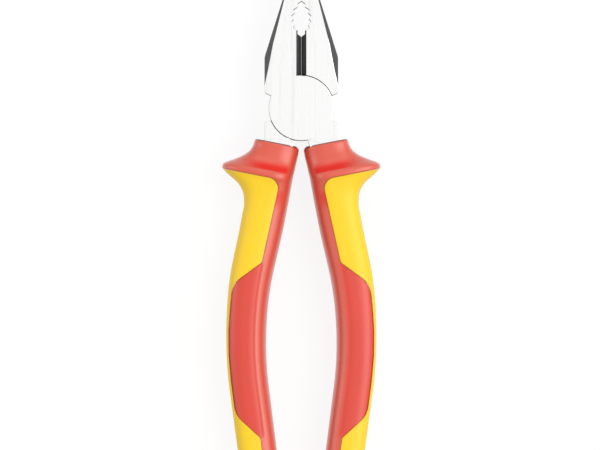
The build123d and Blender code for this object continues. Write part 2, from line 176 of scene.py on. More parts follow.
# ---------------------------------------------------------------- settings
def length_setting(name, description, default):
    return FloatProperty(name=name, description=description, default=default, unit="LENGTH")


def angle_setting(name, description, degrees):
    return FloatProperty(name=name, description=description, default=math.radians(degrees), subtype="ANGLE")


def place_setting(name, description, default):
    return FloatVectorProperty(
        name=name, description=description, size=2, default=default, subtype="XYZ_LENGTH", unit="LENGTH"
    )


def colour_setting(name, description, default):
    return FloatVectorProperty(
        name=name, description=description, size=3, default=default, subtype="COLOR", min=0, max=1
    )


def power_setting(name, description, default):
    return FloatProperty(name=name, description=description, default=default, unit="POWER")


def plain_setting(name, description, default):
    return FloatProperty(name=name, description=description, default=default)


class GripSizes(bpy.types.PropertyGroup):
    """Sizes of the moulded grips."""

    start: place_setting("Start", "Upper end of the right handle's centreline", (0.0081, -0.012))
    upper_length: length_setting("Upper Length", "Straight stretch under the collar", 0.045)
    upper_lean: angle_setting("Upper Lean", "Outward lean of the upper stretch", 11.0)
    bend_radius: length_setting("Bend Radius", "Radius of the bend in the middle", 0.125)
    lower_lean: angle_setting("Lower Lean", "Outward lean of the lower stretch", -7.5)
    length: length_setting("Length", "Whole length along the centreline", 0.1242)
    outer_squareness: plain_setting("Outer Squareness", "2 is an ellipse, more is squarer", 3.3)
    inner_squareness: plain_setting("Inner Squareness", "2 is an ellipse, more is squarer", 2.5)
    points_around: IntProperty(name="Points Around", description="Points of a cross-section", default=144)
    seam_gap: length_setting("Seam Gap", "Groove between the red shell and the yellow pads", 0.00014)
    field_recess: length_setting("Field Recess", "How deep the palm field is sunk", 0.0003)


class GripColours(bpy.types.PropertyGroup):
    """Colours of the moulded grips."""

    shell: colour_setting("Shell", "Red of the smooth shell", (0.67, 0.075, 0.035))
    # painted reflection: a deeper red that stands in for the shell mirroring its own red in the hollow by
    # the guard
    recess: colour_setting("Recess", "Deeper red by the guard", (0.74, 0.012, 0.004))
    field: colour_setting("Palm Field", "Red of the grained field", (0.64, 0.03, 0.008))
    pads: colour_setting("Pads", "Yellow of the soft pads", (0.95, 0.62, 0.012))
    sleeve: colour_setting("Sleeve", "Inner insulating layer", (0.9, 0.42, 0.03))


class SteelFinish(bpy.types.PropertyGroup):
    """Finish of the forgings and the rivet."""

    ground: colour_setting("Ground Steel", "Bright ground faces", (0.915, 0.915, 0.91))
    oxide: colour_setting("Black Oxide", "Dark flanks and hollows", (0.06, 0.06, 0.06))
    edge_width: length_setting("Edge Width", "Width of the broken edges", 0.0001)


class StudioSettings(bpy.types.PropertyGroup):
    """Camera, floor and lights."""

    view_width: length_setting("View Width", "Width that the camera sees at the pliers", 0.2064)
    view_centre: place_setting("View Centre", "Point under the middle of the frame", (-0.00045, -0.04025))
    camera_height: length_setting("Camera Height", "Distance from the pliers to the camera", 2.2)
    key_power: power_setting("Key Power", "Lamp on the right", 11.0)
    fill_power: power_setting("Fill Power", "Lamp on the left", 2.4)
    top_power: power_setting("Top Power", "Lamp beyond the jaws", 1.5)
    sky: plain_setting("Sky", "Strength of the even white surroundings", 0.55)
    floor: colour_setting("Floor", "Colour of the floor", (0.5, 0.5, 0.5))
    floor_shadow: plain_setting("Floor Shadow", "Share of the shadow that shows", 0.3)


# ---------------------------------------------------------------- node helpers
def add_node(tree, kind, inputs=None, **settings):
    """A node with its settings, and with each named or numbered input given a value or a link."""
    node = tree.nodes.new(kind)
    for name, value in settings.items():
        setattr(node, name, value)
    for key, value in (inputs or {}).items():
        if isinstance(value, bpy.types.NodeSocket):
            tree.links.new(value, node.inputs[key])
        else:
            node.inputs[key].default_value = value
    return node


def math_node(tree, operation, *values):
    """Result of a sum on values or links."""
    return add_node(tree, "ShaderNodeMath", dict(enumerate(values)), operation=operation).outputs[0]


def vector_node(tree, operation, inputs):
    """Result of a sum on vectors."""
    return add_node(tree, "ShaderNodeVectorMath", inputs, operation=operation).outputs[0]


def noise(tree, place, scale, detail, roughness):
    """Value of a noise texture at a place."""
    inputs = {"Vector": place, "Scale": scale, "Detail": detail, "Roughness": roughness}
    return add_node(tree, "ShaderNodeTexNoise", inputs).outputs["Fac"]


def ramp(tree, value, low, high):
    """Smooth step from 0 to 1 as a value goes from low to high."""
    limits = {"Value": value, "From Min": low, "From Max": high}
    return add_node(tree, "ShaderNodeMapRange", limits, interpolation_type="SMOOTHSTEP").outputs["Result"]


def mix_colour(tree, factor, first, second):
    """The first colour at 0 and the second at 1, each given as a value or a link."""
    node = add_node(tree, "ShaderNodeMix", {"Factor": factor}, data_type="RGBA")
    for socket, value in ((node.inputs[6], first), (node.inputs[7], second)):
        if isinstance(value, bpy.types.NodeSocket):
            tree.links.new(value, socket)
        else:
            socket.default_value = (*value, 1)
    return node.outputs[2]


def shaded(colour, share):
    """A colour with each channel scaled, and none over 1."""
    return [min(1.0, channel * share) for channel in colour]


def mask_value(tree, name):
    """Value of a mask that the mesh carries."""
    return add_node(tree, "ShaderNodeAttribute", attribute_name=name).outputs["Fac"]


def add_bump(tree, shader, height, strength, distance):
    """Fine relief on a shader's surface."""
    bump = add_node(tree, "ShaderNodeBump", {"Height": height, "Strength": strength, "Distance": distance})
    tree.links.new(bump.outputs[0], shader.inputs["Normal"])


def new_group(name, inputs, outputs):
    """An empty shader node group with named inputs and outputs, and its two end nodes."""
    group = bpy.data.node_groups.new(name, "ShaderNodeTree")
    for label, kind, default in inputs:
        socket = group.interface.new_socket(label, in_out="INPUT", socket_type=kind)
        socket.default_value = default
    for label, kind in outputs:
        group.interface.new_socket(label, in_out="OUTPUT", socket_type=kind)
    return group, add_node(group, "NodeGroupInput"), add_node(group, "NodeGroupOutput")


def use_group(tree, group, **inputs):
    """A shared group's node, with its inputs named in lower case."""
    node = add_node(tree, "ShaderNodeGroup", node_tree=group)
    for name, value in inputs.items():
        socket = node.inputs[name.replace("_", " ").title()]
        if isinstance(value, bpy.types.NodeSocket):
            tree.links.new(value, socket)
        else:
            socket.default_value = value
    return node


def empty_tree(owner):
    """The node tree of a material or a world, emptied."""
    owner.use_nodes = True
    owner.node_tree.nodes.clear()
    return owner.node_tree


def seen_rays(tree):
    """1 for rays that the camera sees, even in a reflection, and 0 for those that only carry light."""
    path = add_node(tree, "ShaderNodeLightPath").outputs
    seen = math_node(tree, "MAXIMUM", path["Is Camera Ray"], path["Is Glossy Ray"])
    return math_node(tree, "MAXIMUM", seen, path["Is Transmission Ray"])


def new_material(name):
    """A material with only a Principled shader, and its tree and shader."""
    material = bpy.data.materials.new(name)
    tree = empty_tree(material)
    shader = add_node(tree, "ShaderNodeBsdfPrincipled")
    add_node(tree, "ShaderNodeOutputMaterial", {"Surface": shader.outputs["BSDF"]})
    return material, tree, shader


# ---------------------------------------------------------------- shared effects
def grain_group():
    """Moulded grain: a height and a tone that vary with fine pebbles and slow cloudiness."""
    group, start, end = new_group(
        "Moulded Grain",
        [("Grain Size", "NodeSocketFloat", 0.0004), ("Cloud Size", "NodeSocketFloat", 0.02)],
        [("Height", "NodeSocketFloat"), ("Tone", "NodeSocketFloat")],
    )
    place = add_node(group, "ShaderNodeTexCoord").outputs["Object"]
    grain_scale = math_node(group, "DIVIDE", 1.0, start.outputs["Grain Size"])
    cloud_scale = math_node(group, "DIVIDE", 1.0, start.outputs["Cloud Size"])
    pebbles = add_node(
        group, "ShaderNodeTexVoronoi", {"Vector": place, "Scale": grain_scale, "Smoothness": 0.6},
        feature="SMOOTH_F1",
    )
    speckle = noise(group, place, grain_scale, detail=3.0, roughness=0.6)
    clouds = noise(group, place, cloud_scale, detail=2.0, roughness=0.5)
    pebble_height = math_node(group, "MULTIPLY", pebbles.outputs["Distance"], -0.7)
    height = math_node(group, "ADD", pebble_height, speckle)
    tone = math_node(group, "MULTIPLY_ADD", clouds, 0.6, 0.2)
    group.links.new(height, end.inputs["Height"])
    group.links.new(math_node(group, "MULTIPLY_ADD", speckle, 0.4, tone), end.inputs["Tone"])
    return group


def brushed_group():
    """Fine lines along Y left by a grinding belt, as a height and as a tone."""
    group, start, end = new_group(
        "Belt Grinding",
        [("Line Width", "NodeSocketFloat", 0.00012), ("Line Length", "NodeSocketFloat", 0.012)],
        [("Height", "NodeSocketFloat"), ("Tone", "NodeSocketFloat")],
    )
    place = add_node(group, "ShaderNodeTexCoord").outputs["Object"]
    across = math_node(group, "DIVIDE", 1.0, start.outputs["Line Width"])
    lengthwise = math_node(group, "DIVIDE", 1.0, start.outputs["Line Length"])
    stretch = add_node(group, "ShaderNodeCombineXYZ", {"X": across, "Y": lengthwise, "Z": across})
    stretched = vector_node(group, "MULTIPLY", {0: place, 1: stretch.outputs[0]})
    fine = noise(group, stretched, 1.0, detail=3.0, roughness=0.7)
    broad = noise(group, stretched, 0.12, detail=2.0, roughness=0.6)
    group.links.new(fine, end.inputs["Height"])
    half = math_node(group, "MULTIPLY", broad, 0.5)
    group.links.new(math_node(group, "MULTIPLY_ADD", fine, 0.5, half), end.inputs["Tone"])
    return group


def ground_mask_group():
    """1 on faces that were ground flat, square to the pivot, and 0 on flanks and hollows."""
    group, start, end = new_group(
        "Ground Faces", [("Steepest", "NodeSocketFloat", GROUND_FACING)], [("Ground", "NodeSocketFloat")]
    )
    normal = add_node(group, "ShaderNodeNewGeometry").outputs["Normal"]
    parts = add_node(group, "ShaderNodeSeparateXYZ", {0: normal}).outputs
    facing = math_node(group, "ABSOLUTE", parts["Z"])
    limit = math_node(group, "SUBTRACT", start.outputs["Steepest"], GROUND_FADE)
    group.links.new(ramp(group, facing, limit, start.outputs["Steepest"]), end.inputs["Ground"])
    return group


# ---------------------------------------------------------------- materials
def steel_material(name, finish, groups):
    """Bright ground faces with belt lines, and dark oxide on every flank, hollow and bevel."""
    material, tree, shader = new_material(name)
    ground = use_group(tree, groups["ground"], steepest=GROUND_FACING).outputs["Ground"]
    lines = use_group(tree, groups["brushed"], line_width=0.00014, line_length=0.012)
    grain = use_group(tree, groups["grain"], grain_size=0.0006, cloud_size=0.006)
    streaks = ramp(tree, lines.outputs["Tone"], *STREAK_TONES)
    steel = mix_colour(tree, streaks, finish.ground, shaded(finish.ground, STREAK_SHADE))
    oxide = mix_colour(tree, grain.outputs["Tone"], shaded(finish.oxide, OXIDE_SHADE), finish.oxide)
    # worn edges show bright metal, and the cutter's slot walls get painted light
    wear_and_slot_light = math_node(tree, "MULTIPLY", mask_value(tree, "broken_edge"), WEAR_AND_SLOT_LIGHT_SHARE)
    metal = math_node(tree, "MAXIMUM", ground, wear_and_slot_light)
    tree.links.new(mix_colour(tree, metal, oxide, steel), shader.inputs["Base Color"])
    tree.links.new(math_node(tree, "MULTIPLY_ADD", metal, 0.8, 0.2), shader.inputs["Metallic"])
    ground_rough = math_node(tree, "MULTIPLY_ADD", lines.outputs["Tone"], 0.14, 0.14)
    oxide_rough = math_node(tree, "MULTIPLY_ADD", grain.outputs["Tone"], 0.14, 0.38)
    difference = math_node(tree, "SUBTRACT", ground_rough, oxide_rough)
    roughness = math_node(tree, "MULTIPLY_ADD", ground, difference, oxide_rough)
    tree.links.new(roughness, shader.inputs["Roughness"])
    ground_height = math_node(tree, "MULTIPLY", lines.outputs["Height"], ground)
    height = math_node(tree, "MULTIPLY_ADD", grain.outputs["Height"], 0.5, ground_height)
    add_bump(tree, shader, height, strength=0.25, distance=0.00001)
    return material


def shell_material(colours, groups):
    """Satin red shell with a duller, grained palm field, a deeper red painted into the hollows as painted
    reflection, and painted shadow on the collar's lip.
    """
    material, tree, shader = new_material("red_shell")
    shader.inputs["Specular IOR Level"].default_value = 0.4
    shader.inputs["Coat Roughness"].default_value = 0.42
    field, recess, lip_shadow = [mask_value(tree, name) for name in ("palm_field", "recess", "collar_lip")]
    smooth = use_group(tree, groups["grain"], grain_size=0.0005, cloud_size=0.02)
    grained = use_group(tree, groups["grain"], grain_size=0.00038, cloud_size=0.012)
    toned_shell = mix_colour(tree, smooth.outputs["Tone"], shaded(colours.shell, SHELL_SHADE), colours.shell)
    # painted reflection: a deeper red, without the coat, where the shell would mirror its own red
    shell = mix_colour(tree, recess, toned_shell, colours.recess)
    # painted shadow: the collar's lip is darkened where it meets the steel
    outside = mix_colour(tree, lip_shadow, shell, shaded(colours.shell, PAINTED_LIP_SHADOW))
    low, high = [shaded(colours.field, share) for share in FIELD_SHADES]
    palm = mix_colour(tree, grained.outputs["Tone"], low, high)
    tree.links.new(mix_colour(tree, field, outside, palm), shader.inputs["Base Color"])
    roughness = math_node(tree, "MULTIPLY_ADD", field, 0.2, 0.36)
    tree.links.new(math_node(tree, "MULTIPLY_ADD", recess, 0.2, roughness), shader.inputs["Roughness"])
    tree.links.new(math_node(tree, "SUBTRACT", 1.0, recess), shader.inputs["Coat Weight"])
    fine = math_node(tree, "MULTIPLY", smooth.outputs["Height"], 0.06)
    coarse = math_node(tree, "MULTIPLY", grained.outputs["Height"], field)
    height = math_node(tree, "ADD", fine, coarse)
    add_bump(tree, shader, height, strength=0.6, distance=0.00006)
    return material


def plastic_material(name, colour, groups, roughness, grain_size):
    """Plain moulded plastic or rubber with a little cloudiness and a satin skin."""
    material, tree, shader = new_material(name)
    grain = use_group(tree, groups["grain"], grain_size=grain_size, cloud_size=0.018)
    mixed = mix_colour(tree, grain.outputs["Tone"], shaded(colour, PLASTIC_SHADE), colour)
    tree.links.new(mixed, shader.inputs["Base Color"])
    rough = math_node(tree, "MULTIPLY_ADD", grain.outputs["Tone"], 0.08, roughness)
    tree.links.new(rough, shader.inputs["Roughness"])
    add_bump(tree, shader, grain.outputs["Height"], strength=0.12, distance=0.00003)
    return material


def shared_groups():
    """The node groups that several finishes share, built once."""
    if "Moulded Grain" not in bpy.data.node_groups:
        grain_group()
        brushed_group()
        ground_mask_group()
    return {
        "grain": bpy.data.node_groups["Moulded Grain"],
        "brushed": bpy.data.node_groups["Belt Grinding"],
        "ground": bpy.data.node_groups["Ground Faces"],
    }


def dress_node(name, material):
    """Give a CAD node a material and leave its mesh alone."""
    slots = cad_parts[name].data.materials
    slots.clear()
    slots.append(material)


# ---------------------------------------------------------------- mesh helpers
def new_object(name, data):
    """An object in the scene for a mesh, a lamp or a camera."""
    piece = bpy.data.objects.new(name, data)
    bpy.context.scene.collection.objects.link(piece)
    return piece


def evaluated_mesh(piece):
    """Plain mesh of an object with its modifiers, and the object itself is removed."""
    graph = bpy.context.evaluated_depsgraph_get()
    graph.update()
    mesh = bpy.data.meshes.new_from_object(
        piece.evaluated_get(graph), preserve_all_data_layers=True, depsgraph=graph
    )
    bpy.data.objects.remove(piece)
    return mesh


def written(work, mesh):
    """A mesh with the faces of a working copy, which is freed."""
    work.to_mesh(mesh)
    work.free()
    return mesh


def boolean(mesh, tool_mesh, operation):
    """A mesh cut by, or kept inside, another closed mesh."""
    piece = new_object("cut_work", mesh)
    tool = new_object("cut_tool", tool_mesh)
    cut = piece.modifiers.new("cut", "BOOLEAN")
    cut.solver = "EXACT"
    cut.operation = operation
    cut.object = tool
    result = evaluated_mesh(piece)
    bpy.data.objects.remove(tool)
    return result


def prism_mesh(outline, low, high):
    """Closed prism over a counter-clockwise outline."""
    count = len(outline)
    points = [(x, y, low) for x, y in outline] + [(x, y, high) for x, y in outline]
    faces = [tuple(reversed(range(count))), tuple(range(count, 2 * count))]
    faces += [(i, (i + 1) % count, (i + 1) % count + count, i + count) for i in range(count)]
    mesh = bpy.data.meshes.new("prism")
    mesh.from_pydata(points, [], faces)
    return mesh


def turned_over(mesh):
    """Copy of a mesh after half a turn about the long axis of the pliers."""
    copy = mesh.copy()
    middle = Matrix.Translation((0, 0, MID_PLANE))
    copy.transform(middle @ Matrix.Rotation(math.pi, 4, "Y") @ middle.inverted())
    return copy


# ---------------------------------------------------------------- handle coordinates
def handle_frame(along, sizes):
    """Centreline point and outward normal at distances along the right handle (arrays, metres)."""
    lean = np.full_like(along, sizes.upper_lean)
    bend_length = sizes.bend_radius * (sizes.upper_lean - sizes.lower_lean)
    straight = np.minimum(along, sizes.upper_length)
    turned = np.clip(along - sizes.upper_length, 0, bend_length) / sizes.bend_radius
    rest = np.maximum(along - sizes.upper_length - bend_length, 0)
    x = sizes.start[0] + straight * np.sin(lean)
    y = sizes.start[1] - straight * np.cos(lean)
    x += sizes.bend_radius * (np.cos(lean - turned) - np.cos(lean))
    y -= sizes.bend_radius * (np.sin(lean) - np.sin(lean - turned))
    lean = lean - turned
    x += rest * np.sin(lean)
    y -= rest * np.cos(lean)
    return np.stack([x, y], 1), np.stack([np.cos(lean), np.sin(lean)], 1)


def handle_place(points, sizes):
    """Distance along the right handle and outwards from its centreline, for points in plan."""
    start = np.array(sizes.start)
    upper = np.array([math.sin(sizes.upper_lean), -math.cos(sizes.upper_lean)])
    lower = np.array([math.sin(sizes.lower_lean), -math.cos(sizes.lower_lean)])
    upper_out = np.array([math.cos(sizes.upper_lean), math.sin(sizes.upper_lean)])
    lower_out = np.array([math.cos(sizes.lower_lean), math.sin(sizes.lower_lean)])
    bend_start = start + sizes.upper_length * upper
    centre = bend_start - sizes.bend_radius * upper_out
    bend_end = centre + sizes.bend_radius * lower_out
    bend_length = sizes.bend_radius * (sizes.upper_lean - sizes.lower_lean)
    along = (points - start) @ upper
    outward = (points - start) @ upper_out
    arm = points - centre
    turned = sizes.upper_lean - np.arctan2(arm[:, 1], arm[:, 0])
    bent = (points - bend_start) @ upper > 0
    along[bent] = sizes.upper_length + sizes.bend_radius * turned[bent]
    outward[bent] = np.hypot(arm[bent, 0], arm[bent, 1]) - sizes.bend_radius
    below = bent & ((points - bend_end) @ lower > 0)
    along[below] = sizes.upper_length + bend_length + (points[below] - bend_end) @ lower
    outward[below] = (points[below] - bend_end) @ lower_out
    return along, outward


def rounded_outline(corners, inset, sizes):
    """Plan outline with rounded corners, its sides moved inwards by the inset."""
    rows = np.array(corners) * MM
    centres, normals = handle_frame(rows[:, 0], sizes)
    points = [Vector(p) for p in centres + normals * rows[:, 1:2]]
    outline = []
    for here, radius in enumerate(rows[:, 2]):
        before, corner, after = points[here - 1], points[here], points[(here + 1) % len(points)]
        arriving, leaving = (corner - before).normalized(), (after - corner).normalized()
        left = Vector((-arriving.y - leaving.y, arriving.x + leaving.x))
        corner = corner + left * (2 * inset / left.length_squared)
        turn = math.atan2(arriving.x * leaving.y - arriving.y * leaving.x, arriving.dot(leaving))
        steps = max(1, round(abs(math.degrees(turn)) / CORNER_STEP)) if radius else 0
        if not steps:
            outline.append(tuple(corner))
            continue
        tangent = radius * math.tan(abs(turn) / 2)
        side = math.copysign(1, turn)
        entry = corner - arriving * tangent
        centre = entry + Vector((-arriving.y, arriving.x)) * side * radius
        spoke = entry - centre
        for step in range(steps + 1):
            angle = turn * step / steps
            cos, sin = math.cos(angle), math.sin(angle)
            x = centre.x + cos * spoke.x - sin * spoke.y
            outline.append((x, centre.y + sin * spoke.x + cos * spoke.y))
    return outline


# ---------------------------------------------------------------- grip form
def smooth_sections(stations):
    """The sections' half sizes at the stations, on a rounded curve through the table's rows."""
    rows = np.array(GRIP_SECTIONS)
    fine = np.arange(rows[0, 0], rows[-1, 0] + CURVE_STEP / 2, CURVE_STEP)
    columns = []
    for column in range(1, rows.shape[1]):
        slopes = np.gradient(rows[:, column], rows[:, 0])
        index = np.clip(np.searchsorted(rows[:, 0], fine, side="right") - 1, 0, len(rows) - 2)
        width = rows[index + 1, 0] - rows[index, 0]
        t = (fine - rows[index, 0]) / width
        curve = (
            (2 * t**3 - 3 * t**2 + 1) * rows[index, column]
            + (t**3 - 2 * t**2 + t) * width * slopes[index]
            + (3 * t**2 - 2 * t**3) * rows[index + 1, column]
            + (t**3 - t**2) * width * slopes[index + 1]
        )
        window = np.hanning(2 * round(SECTION_BLEND / CURVE_STEP) + 3)
        padded = np.pad(curve, len(window) // 2, mode="reflect", reflect_type="odd")
        curve = np.convolve(padded, window / window.sum(), mode="valid")
        columns.append(np.interp(stations, fine, curve))
    return np.stack(columns, 1)


def grip_rings(sizes):
    """Stations along the handle and the three half sizes of the cross-section at each, in metres."""
    last = GRIP_SECTIONS[-1][0]
    quarter = np.linspace(0, math.pi / 2, COLLAR_EDGE_RINGS)
    collar_edge = COLLAR_EDGE_ROUND * (1 - np.cos(quarter))
    flare = np.arange(COLLAR_EDGE_ROUND + GUARD_RING_STEP, GUARD_END, GUARD_RING_STEP)
    handle = np.arange(GUARD_END, last, HANDLE_RING_STEP)
    stations = np.concatenate([[0.0], collar_edge, flare, handle, [last]])
    table = smooth_sections(stations)
    short = COLLAR_EDGE_ROUND * (1 - np.sin(quarter))
    table[1 : 1 + COLLAR_EDGE_RINGS] -= short[:, None]
    table[0] = 0
    sweep = np.radians(np.linspace(*END_DOME_SWEEP, END_DOME_RINGS))
    dome = sizes.length / MM - last
    scale = (1 - np.sin(sweep) ** END_DOME_SQUARENESS) ** (1 / END_DOME_SQUARENESS)
    scale[-1] = 0
    stations = np.concatenate([stations, last + dome * np.sin(sweep)])
    table = np.concatenate([table, table[-1] * scale[:, None]])
    return stations * MM, table * MM


def sweep_tree():
    """Rings of a rounded cross-section along a centreline whose points carry their own half sizes."""
    tree = bpy.data.node_groups.new("Grip Sweep", "GeometryNodeTree")
    tree.is_modifier = True
    sockets = (
        ("Centreline", "NodeSocketGeometry", None),
        ("Points Around", "NodeSocketInt", 144),
        ("Outer Squareness", "NodeSocketFloat", 3.0),
        ("Inner Squareness", "NodeSocketFloat", 3.0),
        ("Finish", "NodeSocketMaterial", None),
    )
    for label, kind, default in sockets:
        socket = tree.interface.new_socket(label, in_out="INPUT", socket_type=kind)
        if default is not None:
            socket.default_value = default
    tree.interface.new_socket("Grip", in_out="OUTPUT", socket_type="NodeSocketGeometry")
    start, end = add_node(tree, "NodeGroupInput"), add_node(tree, "NodeGroupOutput")
    line = start.outputs["Centreline"]
    rings = add_node(tree, "GeometryNodeAttributeDomainSize", {0: line}).outputs["Point Count"]
    around = math_node(tree, "ADD", start.outputs["Points Around"], 1)
    grid = add_node(tree, "GeometryNodeMeshGrid", {"Vertices X": rings, "Vertices Y": around})
    index = add_node(tree, "GeometryNodeInputIndex").outputs[0]
    ring = math_node(tree, "FLOOR", math_node(tree, "DIVIDE", math_node(tree, "ADD", index, 0.5), around))
    step = math_node(tree, "SUBTRACT", index, math_node(tree, "MULTIPLY", ring, around))

    def at_ring(value, kind):
        """What a link gives at the centreline's point under this ring."""
        sample = add_node(
            tree, "GeometryNodeSampleIndex", {"Geometry": line, "Index": ring}, data_type=kind, clamp=True
        )
        tree.links.new(value, sample.inputs["Value"])
        return sample.outputs[0]

    def carried(name, kind="FLOAT"):
        """A named attribute of the centreline's point under this ring."""
        named = add_node(tree, "GeometryNodeInputNamedAttribute", {"Name": name}, data_type=kind)
        return at_ring(named.outputs[0], kind)

    middle = at_ring(add_node(tree, "GeometryNodeInputPosition").outputs[0], "FLOAT_VECTOR")
    outward = carried("outward", "FLOAT_VECTOR")
    closed = math_node(tree, "MODULO", step, start.outputs["Points Around"])
    turned = math_node(tree, "MULTIPLY", closed, 2 * math.pi)
    turn = math_node(tree, "DIVIDE", turned, start.outputs["Points Around"])
    across, rise = math_node(tree, "COSINE", turn), math_node(tree, "SINE", turn)
    is_outer = math_node(tree, "GREATER_THAN", across, 0.0)

    def either(outer, inner):
        """The outer value on the outer half of the section, and the inner one on the other half."""
        difference = math_node(tree, "SUBTRACT", outer, inner)
        return math_node(tree, "MULTIPLY_ADD", is_outer, difference, inner)

    squareness = either(start.outputs["Outer Squareness"], start.outputs["Inner Squareness"])
    power = math_node(tree, "DIVIDE", 2.0, squareness)
    half_width = either(carried("outer"), carried("inner"))

    def superellipse(part, half):
        """One coordinate of the section from a cosine or a sine."""
        size = math_node(tree, "POWER", math_node(tree, "ABSOLUTE", part), power)
        signed = math_node(tree, "MULTIPLY", math_node(tree, "SIGN", part), size)
        return math_node(tree, "MULTIPLY", signed, half)

    sideways = vector_node(tree, "SCALE", {0: outward, "Scale": superellipse(across, half_width)})
    upwards = add_node(tree, "ShaderNodeCombineXYZ", {"Z": superellipse(rise, carried("thick"))})
    offset = vector_node(tree, "ADD", {0: sideways, 1: upwards.outputs[0]})
    place = vector_node(tree, "ADD", {0: middle, 1: offset})
    moved = add_node(tree, "GeometryNodeSetPosition", {"Geometry": grid.outputs["Mesh"], "Position": place})
    merge = {"Geometry": moved.outputs[0], "Distance": SAME_POINT}
    merged = add_node(tree, "GeometryNodeMergeByDistance", merge)
    real = add_node(tree, "GeometryNodeRealizeInstances", {0: merged.outputs[0]})
    done = add_node(
        tree, "GeometryNodeSetMaterial", {"Geometry": real.outputs[0], "Material": start.outputs["Finish"]}
    )
    tree.links.new(done.outputs[0], end.inputs[0])
    return tree


def grip_form(sizes, material):
    """Whole outer form of the right grip as one closed mesh."""
    stations, halves = grip_rings(sizes)
    centres, normals = handle_frame(stations, sizes)
    line = bpy.data.meshes.new("centreline")
    count = len(stations)
    line.from_pydata([(x, y, MID_PLANE) for x, y in centres], [(i, i + 1) for i in range(count - 1)], [])
    outward = line.attributes.new("outward", "FLOAT_VECTOR", "POINT")
    outward.data.foreach_set("vector", np.column_stack([normals, np.zeros(count)]).ravel())
    for column, name in enumerate(("outer", "inner", "thick")):
        line.attributes.new(name, "FLOAT", "POINT").data.foreach_set("value", halves[:, column].copy())
    piece = new_object("grip_form", line)
    modifier = piece.modifiers.new("sweep", "NODES")
    tree = bpy.data.node_groups.get("Grip Sweep") or sweep_tree()
    modifier.node_group = tree
    values = {
        "Points Around": sizes.points_around,
        "Outer Squareness": sizes.outer_squareness,
        "Inner Squareness": sizes.inner_squareness,
        "Finish": material,
    }
    for item in tree.interface.items_tree:
        if item.name in values:
            modifier[item.identifier] = values[item.name]
    mesh = evaluated_mesh(piece)
    work = bmesh.new()
    work.from_mesh(mesh)
    bmesh.ops.dissolve_degenerate(work, dist=SAME_POINT, edges=work.edges)
    bmesh.ops.recalc_face_normals(work, faces=work.faces)
    return written(work, mesh)


# ---------------------------------------------------------------- grip masks
def smooth_step(value, start, width):
    """0 before the start and 1 past the width after it, both in millimetres, for lengths in metres."""
    t = np.clip((value - start * MM) / (width * MM), 0, 1)
    return t * t * (3 - 2 * t)


def vertex_places(mesh):
    """Positions of a mesh's vertices, in one flat array."""
    places = np.empty(len(mesh.vertices) * 3)
    mesh.vertices.foreach_get("co", places)
    return places


def handle_places(mesh, sizes):
    """Distance along the right handle and outwards from its centreline, for each vertex."""
    return handle_place(vertex_places(mesh).reshape(-1, 3)[:, :2], sizes)


def field_share(mesh, sizes):
    """How far each vertex lies in the sunk palm field, from 0 to 1."""
    along, outward = handle_places(mesh, sizes)
    start, end = FIELD_ENDS
    spine = smooth_step(outward, FIELD_SPINE_EDGE - FIELD_EDGE_WIDTH / 2, FIELD_EDGE_WIDTH)
    below = smooth_step(along, end - FIELD_END_WIDTH, FIELD_END_WIDTH)
    return spine * smooth_step(along, start, FIELD_END_WIDTH) * (1 - below)


def sink_field(mesh, sizes):
    """Lower the palm field under the skin."""
    places = vertex_places(mesh)
    normals = np.empty_like(places)
    mesh.vertex_normals.foreach_get("vector", normals)
    share = np.repeat(field_share(mesh, sizes), 3)
    mesh.vertices.foreach_set("co", places - normals * share * sizes.field_recess)
    mesh.update()


def painted_reflection_share(mesh, sizes):
    """How far each vertex lies in the hollow behind the guard, or under it on the spine, where a deeper red
    is painted as reflection, from 0 to 1.
    """
    along, outward = handle_places(mesh, sizes)
    share = np.zeros_like(along)
    for lengthwise, across, strength in PAINTED_REFLECTIONS:
        here = np.full_like(along, strength)
        for value, (start, rise, stop, fall) in ((along, lengthwise), (outward, across)):
            here *= smooth_step(value, start, rise) * (1 - smooth_step(value, stop, fall))
        share = np.maximum(share, here)
    return share


def lip_shadow_share(mesh, sizes):
    """How far each vertex lies on the collar's rounded lip, which is darkened as painted shadow, from 0 to
    1.
    """
    along, _ = handle_places(mesh, sizes)
    return np.clip(LIP_SHADOW_REACH - along / (COLLAR_EDGE_ROUND * MM), 0, 1)


def shade(mesh, material, crease):
    """Give a mesh one material and smooth faces, crisp where they turn by more than the crease."""
    mesh.materials.clear()
    mesh.materials.append(material)
    mesh.shade_smooth()
    mesh.set_sharp_from_angle(angle=math.radians(crease))


def finished_grip(name, mesh, material, marks):
    """A shaded part of a grip as an object, with its masks."""
    shade(mesh, material, GRIP_CREASE)
    for mask, values in marks.items():
        mesh.attributes.new(mask, "FLOAT", "POINT").data.foreach_set("value", values)
    return new_object(name, mesh)


# ---------------------------------------------------------------- forgings
def merged_copy(node):
    """Copy of a CAD node's mesh with its loose triangles joined, and flat faces in one piece."""
    work = bmesh.new()
    work.from_mesh(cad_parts[node].data)
    bmesh.ops.remove_doubles(work, verts=work.verts, dist=SAME_POINT)
    bmesh.ops.dissolve_limit(
        work, angle_limit=math.radians(SAME_PLANE), verts=work.verts, edges=work.edges, delimit=set()
    )
    return written(work, bpy.data.meshes.new(node + "_copy"))


